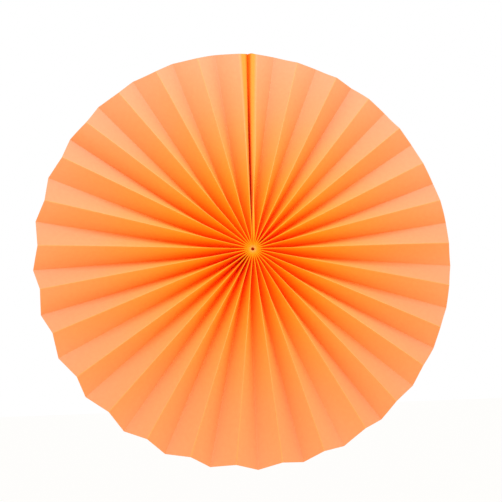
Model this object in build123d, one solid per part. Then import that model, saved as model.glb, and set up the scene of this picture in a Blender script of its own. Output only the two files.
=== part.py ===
"""Paper fan rosette: one long strip of card, folded like an accordion and opened to a full circle.

The hub axis runs along Y, the front faces -Y, +Z is up and the seam stands at the top.
The folds that point forward are the front folds, and those that point to the wall are the back folds.
A fold is found by its number, clockwise from the seam as seen from the front: odd ones are front folds.
A place along a fold is its fraction, 0 at the hub and 1 at the rim.
"""
from build123d import *
import math
import os

# Driving sizes, in millimetres.
rosette_radius = 200.0        # hub axis to the rim ends of the back folds
front_fold_setback = 5.5      # the rim edge is cut back this much at the front folds
pleat_count = 30              # front folds in the full circle
rim_depth = 12.7              # front fold to back fold at the rim, along the hub axis
card_thickness = 0.16
crease_flat = 0.14            # inside width of a pressed crease
hub_slot = 0.07               # clear gap between two panels where they crowd at the hub
gather_radius = 9.0           # inside this, the pleats are squeezed square against each other
swell_end_radius = 22.0       # from here on, the creases are pressed sharp
seam_opening = 15.2           # across the seam at the rim, between the two front folds beside it
seam_flare = 1.15             # power of the curve by which the seam opens towards the rim
lip_depth = 3.1               # the end panels sink this much before they turn back into the seam
throat_share = 0.15           # what is left of the seam's opening behind these lips
seam_margin = 8.0             # width of the strip of each end panel that is stuck to the other
tape_thickness = 0.15
tape_inset = 0.6              # the tape stays this far inside the stuck strip all round
tape_start = 12.0             # hub axis to the inner end of the tape
thread_diameter = 0.8
thread_clearance = 0.2        # all round the thread, in its punched holes
hole_margin = 5.0             # inner edge of the card to the middle of the punched holes
span_count = 10               # straight stretches that make up a fold's gentle curve
span_growth = 1.5             # power by which the stretches grow from the hub to the rim

# Worked out from the driving sizes.
even_pitch = 180.0 / pleat_count
fold_count = 2 * pleat_count - 1
pressed_crease = card_thickness + crease_flat
hub_crease = card_thickness + hub_slot
hub_radius = hub_crease / math.radians(even_pitch)
front_reach = rosette_radius - front_fold_setback
margin_offset = (tape_thickness + card_thickness) / 2
hub_seam_angle = math.degrees(math.asin((margin_offset + hub_crease / 2) / hub_radius))
rim_seam_angle = math.degrees(math.asin((seam_opening + pressed_crease) / 2 / front_reach))
fractions = [(i / span_count) ** span_growth for i in range(span_count + 1)]


def is_front(fold):
    return fold % 2 == 1


def reach_at(fraction, share=0.0):
    """Distance from the hub axis; share is 0 on a front fold and 1 on a back fold."""
    return hub_radius + (front_reach - hub_radius + front_fold_setback * share) * fraction


def in_plan(reach, angle):
    """A point of the plan, seen from the front: sideways and upwards."""
    return Vector(reach * math.sin(math.radians(angle)), 0, reach * math.cos(math.radians(angle)))


def fold_angle(fold, seam_angle):
    """The folds share out the circle evenly, apart from what the seam takes on each of its sides."""
    return seam_angle + (360.0 - 2 * seam_angle) * (fold - 1) / (fold_count - 1)


def crease_width(reach):
    """A fold is as wide as its pleat where the pleats crowd, and narrows to a pressed crease."""
    square = math.radians(even_pitch) * min(reach, gather_radius)
    swell = min(max((swell_end_radius - reach) / (swell_end_radius - gather_radius), 0.0), 1.0)
    return pressed_crease + (square - pressed_crease) * swell


def seam_fold_edges(side, fraction):
    """The fold on one side of the seam curves away from it towards the rim."""
    reach = reach_at(fraction)
    near = margin_offset + (seam_opening / 2 - margin_offset) * fraction ** seam_flare
    far = near + crease_width(reach)
    upwards = math.sqrt(reach ** 2 - near ** 2)
    return Vector(side * near, 0, upwards), Vector(side * far, 0, upwards)


def fold_edges(fold, fraction):
    """The two edges of a fold's narrow crown in plan, in clockwise order."""
    if fold == 1:
        return seam_fold_edges(1, fraction)
    if fold == fold_count:
        near, far = seam_fold_edges(-1, fraction)
        return far, near
    share = 0.0 if is_front(fold) else 1.0
    hub_end = in_plan(reach_at(0, share), fold_angle(fold, hub_seam_angle))
    rim_end = in_plan(reach_at(1, share), fold_angle(fold, rim_seam_angle))
    middle = hub_end + (rim_end - hub_end) * fraction
    across = Vector(middle.Z, 0, -middle.X).normalized()
    half = crease_width(middle.length) / 2
    return middle - across * half, middle + across * half


def plan_gap(fold, fraction):
    """Distance in plan that the panel between a fold and the next one spans."""
    return (fold_edges(fold + 1, fraction)[0] - fold_edges(fold, fraction)[1]).length


panel_width = math.hypot(plan_gap(pleat_count, 1), rim_depth)
free_width = panel_width - seam_margin


def drop(width, span):
    """Depth that a strip of this width covers while it spans a distance in plan."""
    return math.sqrt(width ** 2 - span ** 2)


def fold_depth(fold, fraction):
    """Place of a fold along the hub axis. Every panel keeps its full width all along."""
    back = drop(panel_width, plan_gap(pleat_count, fraction)) / 2
    if not is_front(fold):
        return back
    if fold == 1:
        return back - drop(panel_width, plan_gap(1, fraction))
    if fold == fold_count:
        return back - drop(panel_width, plan_gap(fold_count - 1, fraction))
    return -back


def end_lines(side, fraction):
    """Lines of an end panel after its front fold: the turn behind the lip, the glue line and the free edge."""
    fold = 1 if side > 0 else fold_count
    point = fold_edges(fold, fraction)[0 if side > 0 else 1]
    opening = abs(point.X) - margin_offset
    lip_width = math.hypot(opening * (1 - throat_share), lip_depth)
    depth = fold_depth(fold, fraction)
    width = 0
    lines = []
    for strip, share in ((lip_width, throat_share), (free_width - lip_width, 0), (seam_margin, 0)):
        width += strip
        following = Vector(side * (margin_offset + opening * share), 0, reach_at(fraction, width / panel_width))
        depth += drop(strip, (following - point).length)
        lines.append(following + Vector(0, depth, 0))
        point = following
    return lines


def section(fraction):
    """The bends of the card's middle surface across all its panels, from end to end."""
    points = end_lines(1, fraction)[::-1]
    for fold in range(1, fold_count + 1):
        depth = Vector(0, fold_depth(fold, fraction), 0)
        points += [corner + depth for corner in fold_edges(fold, fraction)]
    return points + end_lines(-1, fraction)


def slope(points, index):
    """Direction of a line of points at one of them."""
    return (points[min(index + 1, len(points) - 1)] - points[max(index - 1, 0)]).normalized()


def make_card_surfaces():
    """The front and the back surface of the card, as rows of points."""
    middle = [section(fraction) for fraction in fractions]
    columns = list(zip(*middle))
    front, back = [], []
    for row, points in enumerate(middle):
        normals = []
        for a, b in zip(range(len(points)), range(1, len(points))):
            outwards = slope(columns[a], row) + slope(columns[b], row)
            backwards = outwards.cross(points[b] - points[a])
            normals.append(backwards.normalized())
        front.append([])
        back.append([])
        for index, point in enumerate(points):
            n1 = normals[max(index - 1, 0)]
            n2 = normals[min(index, len(normals) - 1)]
            shift = (n1 + n2) * (card_thickness / 2 / (1 + n1.dot(n2)))
            front[-1].append(point - shift)
            back[-1].append(point + shift)
    return front, back


def facet(a, b, c):
    return Face(Wire.make_polygon([a, b, c]))


def patch(a, b, c, d, mirrored=False):
    """Two flat facets that fill a twisted patch with four corners."""
    if mirrored:
        return [facet(a, b, d), facet(b, c, d)]
    return [facet(a, b, c), facet(a, c, d)]


def make_pleated_paper():
    """The folded card: both surfaces, the hub and rim edges and the two ends, closed to a solid."""
    front, back = make_card_surfaces()
    faces = []
    last = len(front[0]) - 1
    end_line_count = len(end_lines(1, 0))
    for side in (front, back):
        for inner, outer in zip(side, side[1:]):
            for i in range(last):
                last_fold = (i - end_line_count) // 2 + 1
                faces += patch(inner[i], inner[i + 1], outer[i + 1], outer[i], is_front(last_fold))
    for row in (0, -1):
        for i in range(last):
            faces += patch(front[row][i], front[row][i + 1], back[row][i + 1], back[row][i])
    for i in (0, last):
        for row in range(span_count):
            faces += patch(front[row][i], front[row + 1][i], back[row + 1][i], back[row][i])
    return Solid(Shell(faces))


def thread_ring(diameter):
    """A ring through the middle of every panel, close to the card's inner edge."""
    ring_radius = reach_at(0, 0.5) + hole_margin
    return Plane.XZ * Torus(ring_radius, diameter / 2)


def make_seam_tape():
    """The double-sided tape between the stuck strips of the two end panels."""
    back_fold_length = rosette_radius - hub_radius
    start = (tape_start - hub_radius) / back_fold_length
    end = 1 - tape_inset / back_fold_length
    stations = [start] + [f for f in fractions if start < f < end] + [end]
    _, glue_line, free_edge = zip(*(end_lines(1, f) for f in stations))
    outline = [Vector(0, p.Y - tape_inset, p.Z) for p in free_edge]
    outline += [Vector(0, p.Y + tape_inset, p.Z) for p in reversed(glue_line)]
    return extrude(Face(Wire.make_polygon(outline)), amount=tape_thickness / 2, dir=(1, 0, 0), both=True)


hole_cutter = thread_ring(thread_diameter + 2 * thread_clearance)
parts = {
    "pleated_paper": make_pleated_paper() - hole_cutter,
    "hub_thread": thread_ring(thread_diameter),
    "seam_tape": make_seam_tape(),
}

os.makedirs("parts", exist_ok=True)
for name, shape in parts.items():
    shape.label = name
    export_step(shape, f"parts/{name}.step", write_pcurves=False)
    size = shape.bounding_box().size
    print(f"{name}: {len(shape.solids())} solid, {len(shape.faces())} faces, volume {shape.volume:.1f} mm3,",
          f"size {size.X:.1f} x {size.Y:.1f} x {size.Z:.1f} mm, valid {shape.is_valid}")
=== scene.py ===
# %% [markdown]
# # A paper fan rosette
# A rosette like this is one long strip of thin dyed card. It is pleated across like an accordion, a thread
# through one edge draws that edge together, and the two ends are taped to each other behind the front.
# The CAD model gives the sheet, the thread and the tape their places. Here the sheet gets what a camera
# sees: soft creases, springy panels, pleats that swell shut round the hub, and the look of dyed card.

# %% Load the CAD frame
import math
import bmesh
import bpy
import numpy as np
from mathutils import Matrix, Vector


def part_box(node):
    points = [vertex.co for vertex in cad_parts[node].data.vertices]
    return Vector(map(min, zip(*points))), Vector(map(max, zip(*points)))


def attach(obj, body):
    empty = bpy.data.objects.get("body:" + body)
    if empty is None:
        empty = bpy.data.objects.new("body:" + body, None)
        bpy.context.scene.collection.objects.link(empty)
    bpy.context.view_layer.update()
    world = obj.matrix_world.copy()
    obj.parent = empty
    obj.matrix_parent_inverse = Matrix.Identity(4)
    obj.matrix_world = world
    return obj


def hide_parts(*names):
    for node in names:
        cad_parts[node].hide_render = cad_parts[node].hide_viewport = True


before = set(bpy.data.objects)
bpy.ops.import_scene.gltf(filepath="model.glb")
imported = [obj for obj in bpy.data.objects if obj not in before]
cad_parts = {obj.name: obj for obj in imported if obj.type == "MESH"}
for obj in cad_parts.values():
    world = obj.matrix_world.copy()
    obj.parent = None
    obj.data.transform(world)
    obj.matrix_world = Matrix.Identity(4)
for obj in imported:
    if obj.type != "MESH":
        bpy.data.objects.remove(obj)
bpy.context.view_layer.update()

# %% [markdown]
# ## The sizes of the sheet
# The hub axis runs along Y, the front faces -Y and the seam stands at the top, at +Z. Folds are numbered
# clockwise from the seam, and the odd ones point to the front. All sizes are millimetres, because that is
# how paper is cut, and one factor turns them to Blender's metres at the end.

# %% Sizes in millimetres
MM = 0.001
rosette_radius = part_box("pleated_paper")[1].z / MM
front_fold_setback = 5.5      # the rim edge is cut back this much at the front folds
pleat_count = 30
rim_depth = 12.7              # front fold to back fold at the rim
card_thickness = 0.16
pressed_crease = 0.30         # width of a crease that was pressed sharp
crowding = 0.23               # from one panel to the next where they crowd at the hub
gather_radius = 9.0           # inside this the pleats are squeezed square
swell_end_radius = 22.0       # from here on the creases are pressed sharp
seam_opening = 15.2           # between the two front folds beside the seam, at the rim
seam_flare = 1.15             # power of the curve by which the seam opens
lip_depth = 3.1               # the end panels sink this much before they turn back into the seam
throat_width = 2.3            # what is left of the opening behind these lips
seam_margin = 8.0             # strip of each end panel that is stuck to the other
margin_offset = 0.155         # middle of a stuck strip to the middle of the tape

fold_count = 2 * pleat_count - 1
pitch = math.radians(180 / pleat_count)
hub_reach = crowding / pitch
front_reach = rosette_radius - front_fold_setback
fold_length = rosette_radius - hub_reach
middle_length = fold_length - front_fold_setback / 2
hub_seam_angle = math.asin((margin_offset + crowding / 2) / hub_reach)
rim_seam_angle = math.asin((seam_opening + pressed_crease) / 2 / front_reach)
print(f"{fold_count} folds; {fold_length:.1f} mm long behind, {front_reach - hub_reach:.1f} mm in front")

# %% [markdown]
# ## Rows of points from the hub to the rim
# The sheet is a grid: its rows go round the rosette and its columns follow the folds. A column is a numpy
# array with one point per row, so each formula below works on a whole fold at once. A plane could also be
# folded by hand in edit mode, but formulas keep the card's width exact and make sixty panels as easily as
# one. The rows lie closer together near the hub, where the shape changes fastest, and two of them frame the
# holes for the thread.

# %% The rows
hole_margin = 5.0             # inner edge of the card to the middle of the punched holes
hole_radius = 0.55
row_count = 40
row_growth = 1.7              # power by which the rows spread towards the rim
row_clearance = 0.002         # no other row comes closer to a hole's rows than this
even_rows = np.linspace(0, 1, row_count) ** row_growth
hole_rows = np.array([hole_margin - hole_radius, hole_margin + hole_radius]) / middle_length
clear_rows = [f for f in even_rows if f < hole_rows[0] - row_clearance or f > hole_rows[1] + row_clearance]
rows = np.sort(np.concatenate([clear_rows, hole_rows]))
hole_row = int(np.searchsorted(rows, hole_rows[0]))
print(len(rows), "rows, the holes lie above row", hole_row)


def reach_at(share=0.0):
    """Distance of every row from the hub axis; share is 0 on a front fold and 1 on a back fold."""
    return hub_reach + (front_reach - hub_reach + front_fold_setback * share) * rows


def points(x, y, z):
    """Columns of numbers as one array of points."""
    return np.stack(np.broadcast_arrays(x, y, z), axis=-1)


def smooth_step(x, start, end):
    """0 up to start, 1 from end on, and a soft ramp between them."""
    t = np.clip((x - start) / (end - start), 0, 1)
    return t * t * (3 - 2 * t)


# %% [markdown]
# ## How the seam was closed
# Whoever taped the two ends pulled them a little to the right, and the right one more than the left. So the
# seam isn't the straight line of the CAD model. Each of these curves is a number per row, in millimetres
# sideways. The middle line drifts, the throat between the two lips drifts further, the right fold stands
# off, and next to the hub it has sprung open wider than the others. A soft ramp says where each begins and is
# complete, as shares of the fold or in millimetres from the hub. That is easier to steer than moving points.

# %% The drift of the seam
seam_drift = 1.5              # of the middle line, at the rim
throat_drift = (0.5, 2.6)     # what the throat adds to that: some by the hub, the rest by the rim
stand_off = 1.8               # of the right fold
sprung_width = 0.9            # what half a crown gains where the right fold has sprung open
sprung_share = 0.55           # the part of it by which the fold gives way to the right

seam_line = seam_drift * rows ** 2
throat_line = seam_line + throat_drift[0] * smooth_step(rows, 0.05, 0.2) + throat_drift[1] * rows ** 3
right_pull = stand_off * smooth_step(rows, 0.2, 0.5)
sprung_open = sprung_width * smooth_step(reach_at(), 5, 15) * (1 - smooth_step(reach_at(), 22, 60))
print(f"at the rim the seam drifts {seam_line[-1]:.1f} mm to the right, its throat {throat_line[-1]:.1f} mm")

# %% [markdown]
# ## Where the folds lie
# A machine scores the creases evenly, but hands open the fan, so no two pleats stand quite alike. A seeded
# random number moves each fold's rim end a little sideways. Its hub end is held by the thread and stays. An
# Array modifier could turn one pleat thirty times, but then all would be alike, even those beside the seam.
# Those give way to its drift as well, each a little less than the one before.

# %% The fold lines in plan
chance = np.random.default_rng(30)
most_wander = 0.5             # degrees
giving_folds = 7              # on each side of the seam
fold_wander = np.radians(chance.uniform(-most_wander, most_wander, fold_count + 2))
for step in range(1, giving_folds + 1):
    fade = (1 - step / (giving_folds + 1)) / front_reach
    fold_wander[1 + step] += (seam_line[-1] + right_pull[-1]) * fade
    fold_wander[fold_count - step] += seam_line[-1] * fade


def is_front(fold):
    """Whether a fold points to the front."""
    return fold % 2 == 1


def crease_width(reach):
    """A fold is as wide as its pleat where pleats crowd, and narrows to a pressed crease."""
    square = pitch * np.minimum(reach, gather_radius)
    swell = np.clip((swell_end_radius - reach) / (swell_end_radius - gather_radius), 0, 1)
    return pressed_crease + (square - pressed_crease) * swell


def fold_line(fold):
    """The middle line of a fold in plan, and the direction across it, clockwise."""
    if fold in (1, fold_count):
        side = 1 if fold == 1 else -1
        reach = reach_at()
        near = margin_offset + (seam_opening / 2 - margin_offset) * rows ** seam_flare
        near = near + (right_pull + sprung_open * sprung_share if fold == 1 else 0)
        sideways = seam_line + side * (near + crease_width(reach) / 2)
        return points(sideways, 0, np.sqrt(reach ** 2 - near ** 2)), points(np.ones(len(rows)), 0, 0)
    share = 0 if is_front(fold) else 1
    turn = (fold - 1) / (fold_count - 1)
    angles = [a + (2 * math.pi - 2 * a) * turn for a in (hub_seam_angle, rim_seam_angle)]
    angles[1] += fold_wander[fold]
    ends = [reach_at(share)[row] * np.array([math.sin(a), 0, math.cos(a)]) for row, a in zip((0, -1), angles)]
    middle = ends[0] + (ends[1] - ends[0]) * rows[:, None]
    length = np.linalg.norm(middle, axis=1)
    return middle, points(middle[:, 2] / length, 0, -middle[:, 0] / length)


lines = {fold: fold_line(fold) for fold in range(1, fold_count + 1)}
print("rim end of the lowest fold:", lines[pleat_count][0][-1].round(1))

# %% [markdown]
# ## How deep the folds stand
# Card bends but doesn't stretch, so every panel keeps its width all the way. Where the fan is open, at the
# rim, a panel lies flat; at the hub it has to stand upright. Pythagoras gives its depth from its width and
# the distance that it spans in plan. The tape holds the two folds beside the seam level with each other.

# %% Panel width and fold depths


def plan_gap(fold):
    """Distance in plan from a fold to the next one, between their narrow crowns."""
    (a, _), (b, _) = lines[fold], lines[fold + 1]
    half_crowns = (crease_width(np.linalg.norm(a, axis=1)) + crease_width(np.linalg.norm(b, axis=1))) / 2
    return np.linalg.norm(b - a, axis=1) - half_crowns


gaps = {fold: plan_gap(fold) for fold in range(1, fold_count)}
rim_gap = np.median([gap[-1] for gap in gaps.values()])
panel_width = math.hypot(rim_gap, rim_depth)
free_width = panel_width - seam_margin


def drop(width, span):
    """Depth that a strip of this width covers while it spans a distance in plan."""
    return np.sqrt(np.maximum(width ** 2 - span ** 2, 0.1))


def fold_depth(fold):
    """Half the mean drop of the two panels beside a fold, to the front or to the back."""
    before, after = gaps.get(fold - 1, gaps.get(fold)), gaps.get(fold, gaps.get(fold - 1))
    depth = (drop(panel_width, before) + drop(panel_width, after)) / 4
    return -depth if is_front(fold) else depth


depths = {fold: fold_depth(fold) for fold in lines}
depths[1] = depths[fold_count] = (depths[1] + depths[fold_count]) / 2
hub_depth = 2 * depths[pleat_count][0]
print(f"panels are {panel_width:.1f} mm wide; the hub is {hub_depth:.1f} mm deep, the rim {rim_depth} mm")

# %% [markdown]
# ## Crowns that swell round the hub
# A crease springs open as far as its neighbours let it. Round the hub they are packed so tightly that the
# crowns swell until they touch, which closes the middle into a small bright disc. A Bevel modifier rounds
# edges too, but keeps one width along each, so here each crown is an arc of a circle of its own in every
# row, which runs into the panels on both sides.

# %% The crown of one fold
crown_steps = 6               # stretches of the arc
swell_neck = 3.2              # how far down the panels a swollen crown reaches
swell_fade = (5.0, 10.5)      # between these distances from the axis the swelling fades
dimple = 1.1                  # the crowns dip this much at the very centre
dimple_radius = 6.0
crown_clearance = 0.02        # between two crowns that touch


def half_crown(fold):
    """Half the width of a pressed crown, and what its swelling adds to that."""
    reach = np.linalg.norm(lines[fold][0], axis=1)
    pressed = crease_width(reach) / 2
    packed = pitch * reach - card_thickness / 2 - crown_clearance
    swelling = np.maximum(packed - pressed, 0) * (1 - smooth_step(reach, *swell_fade))
    if fold in (1, fold_count):
        swelling = sprung_open * (fold == 1)
    return pressed, swelling


def panel_slope(fold):
    """Angle between the panels at a fold and the plane of the rosette."""
    gap = gaps.get(fold, gaps.get(fold - 1))
    return np.arccos(np.clip(gap / panel_width, 0, 0.999))


def crown(fold):
    """The columns of points over one crown, clockwise, with the sheet's depth at each."""
    middle, across = lines[fold]
    pressed, swelling = half_crown(fold)
    slope = panel_slope(fold)
    radius = (pressed + swelling) / np.sin(slope)
    sign = 1 if is_front(fold) else -1
    dip = dimple * (1 - smooth_step(np.linalg.norm(middle, axis=1), hub_reach, dimple_radius)) * sign
    columns = []
    for step in range(crown_steps + 1):
        turn = slope * (2 * step / crown_steps - 1)
        sideways = across * (radius * np.sin(turn))[:, None]
        inwards = points(0, depths[fold] + dip + sign * radius * (1 - np.cos(turn)), 0)
        columns.append(middle + sideways + inwards)
    return columns


crowns = {fold: crown(fold) for fold in lines}
widths = 2 * sum(half_crown(pleat_count))
print(f"a crown is at most {widths.max():.2f} mm wide near the hub, and {widths[-1]:.2f} mm at the rim")

# %% [markdown]
# ## Panels between the crowns
# A panel is nearly flat, but the fold lines on its two sides aren't parallel, so it twists a little. Card
# that was folded also keeps a slight bow. A cloth simulation would find such a shape too, but slowly, and
# paper is stiff enough for straight lines with a bow on them. The columns crowd next to the folds, where the
# shading changes, and two of them stand in the middle of the panel, on both sides of the punched hole.

# %% The columns of one panel
near_fold = np.array([0.6, 1.4, 3.0, 6.0, 9.2])
half_columns = np.append(near_fold, panel_width / 2 - hole_radius)
panel_columns = np.concatenate([half_columns, panel_width - half_columns[::-1]])
usual_bow = 0.45              # out of flat, in the middle of a panel
bows = chance.normal(0, usual_bow, fold_count + 1)
bow_along = smooth_step(rows, 0.05, 0.9)


def neck(fold, distance):
    """How far sideways a swollen crown still pushes its panels at a distance below it."""
    return half_crown(fold)[1] * (1 - smooth_step(distance, 0, swell_neck))


def panel(fold):
    """The columns between a fold and the next one."""
    start, end = crowns[fold][-1], crowns[fold + 1][0]
    start = start - lines[fold][1] * half_crown(fold)[1][:, None]
    end = end + lines[fold + 1][1] * half_crown(fold + 1)[1][:, None]
    outwards = np.gradient(start + end, axis=0)
    normal = np.cross(end - start, outwards)
    normal /= np.linalg.norm(normal, axis=1)[:, None]
    columns = []
    for distance in panel_columns:
        share = distance / panel_width
        bow = bows[fold] * math.sin(math.pi * share) * bow_along
        column = start + (end - start) * share + normal * bow[:, None]
        column = column + lines[fold][1] * neck(fold, distance)[:, None]
        columns.append(column - lines[fold + 1][1] * neck(fold + 1, panel_width - distance)[:, None])
    return columns


print(len(panel_columns), "columns in a panel, and the strongest bow is", np.abs(bows).max().round(2), "mm")

# %% [markdown]
# ## The two lips of the seam
# The two end panels are glued to each other back to back, so in front they part like the pages of an open
# book: each goes from its fold over a lip into a narrow throat. The left lip rolls in softly, and the right
# one is flatter and turns sharply. A cubic Bezier curve has both shapes, by how hard its two inner points
# are pulled towards the turn.

# %% The curve of a lip
curve_points = 33
tight_pull, soft_pull = 4 / 3, 1.0    # at 4/3 the curve goes right through the turn


def lip_curve(start, turn, glue_line, pull):
    """Points of a Bezier curve from a fold to the glue line, which bends at the turn."""
    t = np.linspace(0, 1, curve_points)[:, None, None]
    inner_1, inner_2 = start + (turn - start) * pull, glue_line + (turn - glue_line) * pull
    near_start = (1 - t) ** 3 * start + 3 * t * (1 - t) ** 2 * inner_1
    near_glue = 3 * t ** 2 * (1 - t) * inner_2 + t ** 3 * glue_line
    return near_start + near_glue


def arc_lengths(curve):
    """Length of each row's curve up to each of its points."""
    steps = np.linalg.norm(np.diff(curve, axis=0), axis=2)
    return np.concatenate([np.zeros((1, len(rows))), np.cumsum(steps, axis=0)])


print("each lip is a curve through", curve_points, "points in every row")

# %% [markdown]
# Card doesn't stretch, so both curves have to be as long as the card is wide there. No formula gives the
# depth of the glue line for that. It is found by halving: half of an interval is thrown away again and
# again, according to whether the curve at its middle is too long. Thirty halvings leave nothing to see.
# The free edges were trimmed flush, a little past the back edge of the tape. Its mesh comes from the CAD.

# %% The two end panels
seam_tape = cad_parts["seam_tape"]
tape_points = np.array([seam_tape.matrix_world @ corner.co for corner in seam_tape.data.vertices]) / MM
tape_back = tape_points[(tape_points[:, 0] > 0) & (tape_points[:, 1] > tape_points[:, 1].mean())]
tape_back = tape_back[np.argsort(tape_back[:, 2])]
past_tape = 0.6               # the card reaches this far past the tape
edge_depth = np.interp(reach_at(1), tape_back[:, 2], tape_back[:, 1]) + past_tape
halvings = 30
lip_tilt = 0.9                # the left lip sinks this much more than the mean, the right one less
throat_limit = 0.6            # near the hub the throat takes this share of the opening at most
lip_distances = [0.6, 1.4, 2.4, 3.5, 4.7, 6.0, 7.4, 9.2]
hole_sides = [half_columns[-1], panel_width - half_columns[-1]]
end_distances = np.array(lip_distances + hole_sides + [15.5])
margin_shares = (0, 0.1, 0.35, 0.7, 1)


def glued_curve(start, turn, side, pull):
    """The curve of an end panel in every row, with the glue line as deep as the card's width allows."""
    line_reach = reach_at(free_width / panel_width)
    shallow, deep = turn[:, 1], start[:, 1] + free_width
    for _ in range(halvings):
        middle = (shallow + deep) / 2
        curve = lip_curve(start, turn, points(side * margin_offset, middle, line_reach), pull)
        too_long = arc_lengths(curve)[-1] > free_width
        shallow, deep = np.where(too_long, shallow, middle), np.where(too_long, middle, deep)
    return curve


def column_on(curve, distance):
    """The points of every row's curve that lie at one distance along it."""
    lengths = arc_lengths(curve)
    column = [[np.interp(distance, lengths[:, row], curve[:, row, axis]) for axis in range(3)]
              for row in range(len(rows))]
    return np.array(column)


def end_panel(side):
    """The columns of the last panel on one side of the seam, from its fold to its free edge."""
    start = crowns[1][0] if side > 0 else crowns[fold_count][-1]
    opening = np.maximum(side * (start[:, 0] - seam_line) - margin_offset, 0)
    half_throat = np.minimum(throat_width / 2 if side > 0 else throat_width / 4, opening * throat_limit)
    turn_depth = start[:, 1] + lip_depth - side * lip_tilt
    turn_reach = (start[:, 2] + reach_at(free_width / panel_width)) / 2
    turn = points(throat_line + side * (margin_offset + half_throat), turn_depth, turn_reach)
    curve = glued_curve(start, turn, side, tight_pull if side > 0 else soft_pull)
    edge = points(side * margin_offset, edge_depth, reach_at(1))
    margin = [curve[-1] + (edge - curve[-1]) * share for share in margin_shares]
    return [column_on(curve, distance) for distance in end_distances] + margin


right_end, left_end = end_panel(1)[::-1], end_panel(-1)
print(f"the glue line lies {right_end[len(margin_shares) - 1][-1, 1]:.1f} mm behind the middle at the rim")

# %% [markdown]
# ## Sewing the columns into one sheet
# The columns lie side by side from one end of the strip to the other, so the sheet is one grid of quads.
# The distance of each column from the strip's end is kept too: the material needs it to know where a crease
# was rubbed, and it makes a UV map in which the card lies flat, as it did before it was folded. A punched
# hole lies between the two columns that stand beside the middle of a panel.

# %% The grid
columns = list(right_end)
hole_columns = [len(right_end) - 2 - len(lip_distances)]
crown_columns = []
for fold in range(1, fold_count + 1):
    crown_columns.append(len(columns) + crown_steps // 2)
    columns += crowns[fold]
    if fold < fold_count:
        hole_columns.append(len(columns) + len(near_fold))
        columns += panel(fold)
hole_columns.append(len(columns) + len(lip_distances))
columns += left_end
grid = np.array(columns)
steps_across = np.linalg.norm(np.diff(grid, axis=0), axis=2).mean(axis=1)
flat_across = np.concatenate([[0], np.cumsum(steps_across)])
fold_places = flat_across[crown_columns]
print(f"{len(columns)} columns; the strip is {flat_across[-1]:.0f} mm long and {fold_length:.0f} mm wide")

# %% [markdown]
# The thread draws the front edge of the card tighter than the back edge, so the hole in the middle is
# narrower in front. All points near it lean in, the more the further they stand to the front.

# %% Lean the front edge in
tightest = 0.28               # share by which the hole is narrower in front
lean_depths = (5, 12)         # it grows between these distances to the front
lean_end = 0.015              # and fades along this share of the folds
leaning = smooth_step(-grid[:, :, 1], *lean_depths) * (1 - smooth_step(rows, 0, lean_end))
grid[:, :, [0, 2]] *= (1 - tightest * leaning)[:, :, None]
print(f"the hole is {2 * hub_reach:.1f} mm wide behind and {2 * hub_reach * (1 - tightest):.1f} mm in front")

# %% [markdown]
# bmesh takes the points one by one and the quads as rows of four. A quad that lies on a thread hole is left
# out. A second layer of points could give the sheet its thickness, but the Solidify modifier does that, and
# closes the cut edges as well. The open borders are marked sharp first, so that light doesn't smear round
# them.

# %% From grid to thick card


def sheet_mesh(name, grid, holes):
    """A mesh of quads over a grid of columns, with a UV map in metres of flat card."""
    mesh_builder = bmesh.new()
    uv_layer = mesh_builder.loops.layers.uv.new("flat_card")
    corners = [[mesh_builder.verts.new(point * MM) for point in column] for column in grid]
    for i in range(len(grid) - 1):
        for row in range(len(rows) - 1):
            if (i, row) in holes:
                continue
            ring = ((i, row), (i + 1, row), (i + 1, row + 1), (i, row + 1))
            face = mesh_builder.faces.new([corners[a][b] for a, b in ring])
            face.smooth = True
            for loop, (a, b) in zip(face.loops, ring):
                loop[uv_layer].uv = (flat_across[a] * MM, rows[b] * fold_length * MM)
    for edge in mesh_builder.edges:
        edge.smooth = not edge.is_boundary
    mesh = bpy.data.meshes.new(name)
    mesh_builder.to_mesh(mesh)
    mesh_builder.free()
    return mesh


thread_holes = {(i, hole_row) for i in hole_columns}
pleated_card = bpy.data.objects.new("pleated_card", sheet_mesh("pleated_card", grid, thread_holes))
bpy.context.scene.collection.objects.link(pleated_card)
print(len(pleated_card.data.polygons), "quads in the single sheet,", len(thread_holes), "holes")


def apply_modifiers(piece):
    """Replaces a piece's mesh by what its modifiers make of it."""
    evaluated = piece.evaluated_get(bpy.context.evaluated_depsgraph_get())
    made = bpy.data.meshes.new_from_object(evaluated)
    piece.modifiers.clear()
    piece.data = made
    return made


solidify = pleated_card.modifiers.new("card thickness", "SOLIDIFY")
solidify.thickness = card_thickness * MM
solidify.offset = 0
solidify.use_even_offset = True
solidify.thickness_clamp = 0
card_mesh = apply_modifiers(pleated_card)
print(len(card_mesh.vertices), "points in the thick card")

# %% [markdown]
# ## What the material needs to know
# A crease is paler on its outer side only, a front fold on the front and a back fold on the back: partly
# rubbed wear and partly a painted highlight. Inside the seam the card gets painted shade and painted golden
# light. So each side of the card gets its own distances, stored as attributes on the points. Solidify keeps
# the points of the first side in order and adds those of the second side after them, which is why one list
# can simply follow the other.

# %% Attributes on the card
point_count = grid.shape[0] * grid.shape[1]
coordinates = np.empty(len(card_mesh.vertices) * 3, np.float32)
card_mesh.vertices.foreach_get("co", coordinates)
coordinates = coordinates.reshape(-1, 3) / MM
rim_of_first_crown = (crown_columns[0] + 1) * len(rows) - 1
first_is_front = coordinates[rim_of_first_crown, 1] < coordinates[point_count + rim_of_first_crown, 1]
print("the first side is the", "front" if first_is_front else "back")


def store(mesh, name, values):
    """Keeps one number per point as an attribute that shaders can read."""
    attribute = mesh.attributes.new(name, "FLOAT", "POINT")
    attribute.data.foreach_set("value", np.asarray(values, np.float32))


def nearest(folds):
    """Distance of each column of the flat strip from the nearest of some folds."""
    return np.abs(flat_across[:, None] - folds[None, :]).min(axis=1)


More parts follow.
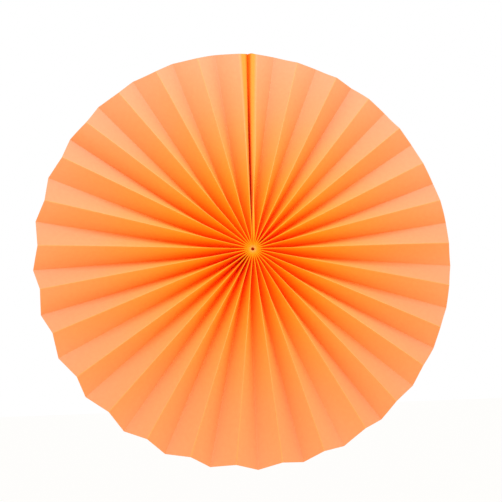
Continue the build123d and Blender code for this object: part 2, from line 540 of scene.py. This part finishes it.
def on_both_sides(on_front, on_back):
    """One value per point of the thick card, from the values of its columns on the two sides."""
    order = (on_front, on_back) if first_is_front else (on_back, on_front)
    return np.concatenate([np.repeat(values, len(rows)) for values in order])


into_seam = np.maximum(np.maximum(fold_places[0] - flat_across, flat_across - fold_places[-1]), 0)
store(card_mesh, "crest_distance", on_both_sides(nearest(fold_places[::2]), nearest(fold_places[1::2])))
store(card_mesh, "seam_depth", on_both_sides(into_seam, np.zeros(len(flat_across))))
store(card_mesh, "hub_distance", np.hypot(coordinates[:, 0], coordinates[:, 2]))
print(f"the card reaches {into_seam.max():.1f} mm into the seam")

# %% [markdown]
# ## Dyed card
# The sheet is uncoated card, dyed in the pulp: matt, a little fibrous, and the same colour right through. A
# picture of card could be wrapped round it, but nodes stay sharp at any distance and follow every fold. Hex
# colours are read as sRGB and turned to linear light, which is what shaders calculate with.

# %% Three helpers for materials


def linear(hex_colour):
    """An sRGB hex colour as the linear values that a shader takes."""
    channels = [int(hex_colour[i:i + 2], 16) / 255 for i in (1, 3, 5)]
    return [c / 12.92 if c <= 0.04045 else ((c + 0.055) / 1.055) ** 2.4 for c in channels] + [1.0]


def add_node(material, kind, inputs=None, **settings):
    """Adds one node. An input is a plain value or the output of another node."""
    node = material.node_tree.nodes.new(kind)
    for name, value in settings.items():
        setattr(node, name, value)
    for socket, value in (inputs or {}).items():
        if isinstance(value, bpy.types.NodeSocket):
            material.node_tree.links.new(value, node.inputs[socket])
        else:
            node.inputs[socket].default_value = value
    return node


def new_material(name):
    """An empty node material."""
    material = bpy.data.materials.new(name)
    material.use_nodes = True
    material.node_tree.nodes.clear()
    return material


print("peach as linear light:", [round(value, 3) for value in linear("#FFB08E")])

# %% [markdown]
# Light that goes from wall to wall before it leaves a fold makes orange card look deeper, and here that is
# painted shade in the colour: it goes from peach at the open rim to full orange near the imported hub, along
# a ramp of hex colours, whose places are shares of the radius. Inside about 6 mm, on the small disc where the
# swollen crowns close, the ramp turns paler and yellow again, as painted light.

# %% The dye with painted shade and light along the folds
# painted shade: the orange deepens towards the hub where the folds crowd; painted light: paler and yellow on
# the hub disc
dye_and_painted_light_stops = ((0.012, "#FFBC64"), (0.02, "#FFB424"), (0.03, "#FFA60A"), (0.045, "#FF9608"), (0.07, "#FFA008"),
             (0.1, "#FFAC0E"), (0.14, "#FFB214"), (0.2, "#FFB824"), (0.34, "#FFBC4C"), (0.5, "#FFBA6E"),
             (0.72, "#FFB584"), (1.0, "#FFB08E"))


def dye_and_painted_light_along(card, hub):
    """The dye's colour with painted shade and painted light, by the distance from the hub."""
    along = add_node(card, "ShaderNodeMapRange", {"Value": hub, "From Max": rosette_radius})
    dye_and_painted_light = add_node(card, "ShaderNodeValToRGB", {"Fac": along.outputs["Result"]})
    while len(dye_and_painted_light.color_ramp.elements) < len(dye_and_painted_light_stops):
        dye_and_painted_light.color_ramp.elements.new(0.5)
    for element, (place, colour) in zip(dye_and_painted_light.color_ramp.elements, dye_and_painted_light_stops):
        element.position = place
        element.color = linear(colour)
    return dye_and_painted_light.outputs["Color"]


print(f"{len(dye_and_painted_light_stops)} colours, the last one {dye_and_painted_light_stops[-1][0] * rosette_radius:.0f} mm from the hub")

# %% [markdown]
# Inside the seam the colour is painted light and shade: the lips get a painted golden light, and the throat
# behind them painted shade as deep as the folds at the hub, a little less where it opens at the rim. Painted
# weights could mark these places, but distances along the card, in millimetres, say it exactly.

# %% Painted light and shade inside the seam
lip_ramp = (0.5, 3.0)         # from the fold, the painted golden light grows over this stretch
throat_ramp = (6.0, 8.5)      # and over this one the painted shade of the throat sets in
rim_ramp = (110.0, 160.0)     # from the hub, the throat's painted shade gets lighter over this stretch, where it opens


def painted_light_in_seam(card, dye_and_painted_light, hub, inside):
    """The dye with painted golden light on the lips and painted shade, deepest in the throat."""
    on_lip, in_throat, far_out = (
        add_node(card, "ShaderNodeMapRange", {"Value": distance, "From Min": ramp[0], "From Max": ramp[1]})
        for distance, ramp in ((inside, lip_ramp), (inside, throat_ramp), (hub, rim_ramp)))
    # painted golden light on the lips
    lips = add_node(card, "ShaderNodeMix", {
        "Factor": on_lip.outputs["Result"], "A": dye_and_painted_light, "B": linear("#FFAC4C")}, data_type="RGBA")
    # painted shade in the throat, lighter towards the rim where the throat opens
    throat = add_node(card, "ShaderNodeMix", {
        "Factor": far_out.outputs["Result"], "A": linear("#F03C00"), "B": linear("#F88C18")},
        data_type="RGBA")
    seam_light_and_shade = add_node(card, "ShaderNodeMix", {
        "Factor": in_throat.outputs["Result"], "A": lips.outputs["Result"], "B": throat.outputs["Result"]},
        data_type="RGBA")
    return seam_light_and_shade.outputs["Result"]


print("the dye is deepest from", throat_ramp[1], "mm behind the fold on")

# %% [markdown]
# The crests are paler, about a millimetre wide: partly rubbed wear, as on every handled fold, and partly a
# painted highlight where the crest catches the light. Towards the hub the paler crest fades out. Pulp clouds
# and fibres lie in the flat card's own measure, so they follow every fold. A noise texture has one lump per
# unit, so its scale is one over the size of a lump. Real fibres are finer; these are as coarse as shows.

# %% The card material
cloud_size = 4.0              # millimetres, as the other sizes
cloud_shade = 0.03            # share by which a cloud is lighter or darker than the dye
fibre_size = 0.7
crest_edge = (0.35, 1.1)      # a crest is paler up to the first distance, and no more from the second
most_rubbed_and_highlit = 0.5             # share of the paler colour, wear and painted highlight, on a crest
rubbed_and_highlit_from = (12.0, 70.0)    # it grows to that between these distances from the hub


def lumps_of(size):
    """The scale of a noise texture whose lumps have this size in millimetres."""
    return 1 / (size * MM)


def dyed_card():
    """Matt card, dyed in the pulp, with painted shade and light, and paler crests of wear and painted
    highlight.
    """
    card = new_material("dyed_uncoated_card")
    hub, crest, inside = (add_node(card, "ShaderNodeAttribute", attribute_name=name).outputs["Fac"]
                          for name in ("hub_distance", "crest_distance", "seam_depth"))
    flat = add_node(card, "ShaderNodeUVMap", uv_map="flat_card").outputs["UV"]
    dye_and_painted_light = painted_light_in_seam(card, dye_and_painted_light_along(card, hub), hub, inside)
    # paler crests: rubbed wear and a painted highlight
    most = add_node(card, "ShaderNodeMapRange", {
        "Value": hub, "From Min": rubbed_and_highlit_from[0], "From Max": rubbed_and_highlit_from[1], "To Max": most_rubbed_and_highlit})
    rubbed_and_highlit = add_node(card, "ShaderNodeMapRange", {
        "Value": crest, "From Min": crest_edge[0], "From Max": crest_edge[1],
        "To Min": most.outputs["Result"], "To Max": 0.0})
    with_crest = add_node(card, "ShaderNodeMix", {
        "Factor": rubbed_and_highlit.outputs["Result"], "A": dye_and_painted_light, "B": linear("#FFBE82")}, data_type="RGBA")
    clouds = add_node(card, "ShaderNodeTexNoise", {
        "Vector": flat, "Scale": lumps_of(cloud_size), "Detail": 3.0})
    shade = add_node(card, "ShaderNodeMapRange", {
        "Value": clouds.outputs["Fac"], "From Min": 0.3, "From Max": 0.7,
        "To Min": 1 - cloud_shade, "To Max": 1 + cloud_shade})
    colour = add_node(card, "ShaderNodeVectorMath", {
        0: with_crest.outputs["Result"], 1: shade.outputs["Result"]}, operation="MULTIPLY")
    fibres = add_node(card, "ShaderNodeTexNoise", {
        "Vector": flat, "Scale": lumps_of(fibre_size), "Detail": 4.0})
    bump = add_node(card, "ShaderNodeBump", {
        "Height": fibres.outputs["Fac"], "Strength": 0.25, "Distance": 0.08 * MM})
    shader = add_node(card, "ShaderNodeBsdfPrincipled", {
        "Base Color": colour.outputs["Vector"], "Roughness": 0.85, "IOR": 1.5, "Specular IOR Level": 0.2,
        "Normal": bump.outputs["Normal"]})
    add_node(card, "ShaderNodeOutputMaterial", {"Surface": shader.outputs["BSDF"]})
    return card


card_mesh.materials.clear()
card_mesh.materials.append(dyed_card())
print(card_mesh.materials[0].name, "has", len(card_mesh.materials[0].node_tree.nodes), "nodes")
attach(pleated_card, "root")
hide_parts("pleated_paper")

# %% [markdown]
# ## The thread
# A twisted sewing thread runs through the punched holes and is drawn tight. A curve with a round bevel would
# make a smooth wire of it. Three plies that wind round one ring give the twist. Each ply is a ring of small
# circles, moved along by their own turning angle.

# %% Three plies in a ring
thread_radius = 0.4
ply_count = 3
ply_radius = 0.19
ring_radius = reach_at(0.5)[0] + hole_margin
twist_length = 2.4            # one full turn of the plies
turns = round(2 * math.pi * ring_radius / twist_length)


def thread_mesh(ring_steps=240, ply_sides=8):
    """The three plies of the thread as one mesh."""
    builder = bmesh.new()
    for ply in range(ply_count):
        rings = []
        for i in range(ring_steps):
            round_hub = 2 * math.pi * i / ring_steps
            outwards = Vector((math.sin(round_hub), 0, math.cos(round_hub)))
            winding = turns * round_hub + 2 * math.pi * ply / ply_count
            arm = outwards * math.cos(winding) + Vector((0, 1, 0)) * math.sin(winding)
            middle = outwards * ring_radius + arm * (thread_radius - ply_radius)
            ring = []
            for k in range(ply_sides):
                angle = 2 * math.pi * k / ply_sides
                side = outwards * math.cos(angle) + Vector((0, 1, 0)) * math.sin(angle)
                ring.append(builder.verts.new((middle + side * ply_radius) * MM))
            rings.append(ring)
        for a, b in zip(rings, rings[1:] + rings[:1]):
            for k in range(ply_sides):
                after = (k + 1) % ply_sides
                builder.faces.new((a[k], b[k], b[after], a[after])).smooth = True
    mesh = bpy.data.meshes.new("twisted_thread")
    bmesh.ops.recalc_face_normals(builder, faces=builder.faces)
    builder.to_mesh(mesh)
    builder.free()
    return mesh


twisted_thread = bpy.data.objects.new("twisted_thread", thread_mesh())
bpy.context.scene.collection.objects.link(twisted_thread)
print(turns, "turns of twist round the hub")

# %% [markdown]
# Spun cotton is matt, and its fibres scatter light at the edges, which Blender calls sheen. Loose fibres
# could be hair particles, but inside the folds a fine noise does as well.

# %% The cotton
cotton_fibre_size = 0.2


def cotton_thread():
    """White sewing cotton: matt and a little fibrous."""
    cotton = new_material("spun_cotton")
    place = add_node(cotton, "ShaderNodeTexCoord").outputs["Object"]
    fibres = add_node(cotton, "ShaderNodeTexNoise", {
        "Vector": place, "Scale": lumps_of(cotton_fibre_size), "Detail": 2.0})
    tint = add_node(cotton, "ShaderNodeMix", {
        "Factor": fibres.outputs["Fac"], "A": linear("#F4EEE2"), "B": linear("#DAD2C2")}, data_type="RGBA")
    bump = add_node(cotton, "ShaderNodeBump", {
        "Height": fibres.outputs["Fac"], "Strength": 0.4, "Distance": 0.05 * MM})
    shader = add_node(cotton, "ShaderNodeBsdfPrincipled", {
        "Base Color": tint.outputs["Result"], "Roughness": 0.8, "Sheen Weight": 0.2,
        "Normal": bump.outputs["Normal"]})
    add_node(cotton, "ShaderNodeOutputMaterial", {"Surface": shader.outputs["BSDF"]})
    return cotton


twisted_thread.data.materials.append(cotton_thread())
print(twisted_thread.data.materials[0].name, "fibres are", cotton_fibre_size, "mm in size")
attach(twisted_thread, "root")
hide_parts("hub_thread")

# %% [markdown]
# ## The tape
# Double-sided tape holds the two end strips together. Its shape in the CAD model is right, so it only gets
# a finish: clear film with a dull adhesive on both sides, which looks milky between two sheets of card.

# %% The tape's finish
bubble_size = 1.1


def adhesive_film():
    """Clear film that its adhesive turns milky."""
    film = new_material("double_sided_adhesive_film")
    place = add_node(film, "ShaderNodeTexCoord").outputs["Object"]
    bubbles = add_node(film, "ShaderNodeTexNoise", {
        "Vector": place, "Scale": lumps_of(bubble_size), "Detail": 2.0})
    tint = add_node(film, "ShaderNodeMix", {
        "Factor": bubbles.outputs["Fac"], "A": linear("#F2EBDC"), "B": linear("#E4DAC4")}, data_type="RGBA")
    shader = add_node(film, "ShaderNodeBsdfPrincipled", {
        "Base Color": tint.outputs["Result"], "Roughness": 0.5, "IOR": 1.49})
    add_node(film, "ShaderNodeOutputMaterial", {"Surface": shader.outputs["BSDF"]})
    return film


seam_tape.data.materials.clear()
seam_tape.data.materials.append(adhesive_film())
print(seam_tape.data.materials[0].name, "bubbles are", bubble_size, "mm in size")

# %% [markdown]
# ## The floor
# The rosette hangs, so the floor lies a little below it and only catches its shadow. It is white to the
# camera and a warm cream to all other light, as in a room with pale wooden surfaces. More light could make it
# white as well, but would bleach the card. A light path node tells the camera's rays from the others
# instead. A small share stays plain paint, so that the shadow shows.

# %% The floor
floor_level = -0.26
floor_size = 6.0
white_share = 0.96            # of what the camera sees; the rest is paint


def floor_mesh():
    """A single large quad."""
    builder = bmesh.new()
    half = floor_size / 2
    builder.faces.new([builder.verts.new((x * half, y * half, floor_level))
                       for x, y in ((-1, -1), (1, -1), (1, 1), (-1, 1))])
    mesh = bpy.data.meshes.new("floor")
    builder.to_mesh(mesh)
    builder.free()
    return mesh


def seen_directly(material):
    """A socket that is 1 where the camera sees the surface itself, or sees it in gloss or through glass."""
    path = add_node(material, "ShaderNodeLightPath").outputs
    seen = path["Is Camera Ray"]
    for other in ("Is Glossy Ray", "Is Transmission Ray"):
        seen = add_node(material, "ShaderNodeMath", {0: seen, 1: path[other]}, operation="MAXIMUM").outputs[0]
    return seen


floor = bpy.data.objects.new("floor", floor_mesh())
bpy.context.scene.collection.objects.link(floor)
paint = new_material("cream_floor_paint")
paint_shader = add_node(paint, "ShaderNodeBsdfPrincipled", {
    "Base Color": linear("#F7ECAC"), "Roughness": 0.9})
seen_white = add_node(paint, "ShaderNodeEmission", {"Color": linear("#FFFFFF"), "Strength": 1.0})
share = add_node(paint, "ShaderNodeMath", {0: seen_directly(paint), 1: white_share}, operation="MULTIPLY")
paint_mix = add_node(paint, "ShaderNodeMixShader", {0: share.outputs[0], 1: paint_shader.outputs["BSDF"],
                                                    2: seen_white.outputs["Emission"]})
add_node(paint, "ShaderNodeOutputMaterial", {"Surface": paint_mix.outputs["Shader"]})
floor.data.materials.append(paint)
print(f"the floor lies {-floor_level - rosette_radius * MM:.2f} m below the rim")

# %% [markdown]
# ## The light
# The world is like the floor, white to the camera and warm to everything else. One small cool lamp, close in
# front and a little above, makes the panels that face up paler than those that face down, which is what
# shows the pleats. A picture of a real studio could light the scene too, but these two are easier to judge.

# %% The world and the lamp
world = bpy.data.worlds.new("white_studio")
bpy.context.scene.world = world
world.use_nodes = True
world.node_tree.nodes.clear()
seen = seen_directly(world)
fill_level = 0.92
level = add_node(world, "ShaderNodeMapRange", {"Value": seen, "To Min": fill_level, "To Max": 1.0})
tint = add_node(world, "ShaderNodeMix", {"Factor": seen, "A": linear("#FFE8A8"), "B": linear("#FFFFFF")},
                data_type="RGBA")
sky = add_node(world, "ShaderNodeBackground", {
    "Color": tint.outputs["Result"], "Strength": level.outputs["Result"]})
add_node(world, "ShaderNodeOutputWorld", {"Surface": sky.outputs["Background"]})


def soft_lamp(name, place, size, watts, colour):
    """A square lamp that faces the middle of the rosette, with its place and size in metres."""
    lamp = bpy.data.lights.new(name, "AREA")
    lamp.size = size
    lamp.color = linear(colour)[:3]
    lamp.energy = watts
    light = bpy.data.objects.new(name, lamp)
    light.location = place
    light.rotation_mode = "QUATERNION"
    light.rotation_quaternion = (-Vector(place)).to_track_quat("-Z", "Y")
    bpy.context.scene.collection.objects.link(light)


soft_lamp("key_lamp", (0.0, -0.45, 0.36), 0.4, 2.03, "#C8D8FF")
print(f"the world shines at {fill_level}, and the lamp adds {bpy.data.lights['key_lamp'].energy:.2f} watts")

# %% [markdown]
# ## The camera
# The photograph was taken from a little below and to the left. A Track To constraint would aim the camera at
# the hub, but keep it upright. A matrix of three directions also lets it lean: to the right, up, and back
# towards the viewer. The up direction leans slightly, as the hand-held camera did.

# %% The camera
camera_distance = 0.7         # metres
back = Vector((-0.1502, -0.9742, -0.1685)).normalized()
lean = Vector((0.0325, 0, 0.9995))
right = lean.cross(back).normalized()
up = back.cross(right)
camera_data = bpy.data.cameras.new("camera")
camera_data.sensor_width = 36.0
camera_data.lens = 53.3
camera = bpy.data.objects.new("camera", camera_data)
turn = Matrix((right, up, back)).transposed().to_4x4()
camera.matrix_world = Matrix.Translation(back * camera_distance) @ turn
bpy.context.scene.collection.objects.link(camera)
bpy.context.scene.camera = camera
bpy.context.scene.view_settings.view_transform = "Standard"
print("the camera stands at", [round(value, 3) for value in camera.matrix_world.translation])

# %% [markdown]
# ## Bounces of light
# Orange card throws back nearly all red light, so light that falls into a deep fold bounces dozens of times
# before it is gone. With the usual four bounces, and even with twenty, the folds at the hub are nearly black
# instead of glowing red. Most of that red glow comes from these bounces, and the painted shade in the card's
# colour deepens it.

# %% Bounces
most_bounces = 48
bpy.context.scene.cycles.max_bounces = most_bounces
bpy.context.scene.cycles.diffuse_bounces = most_bounces
print("light may bounce", most_bounces, "times")
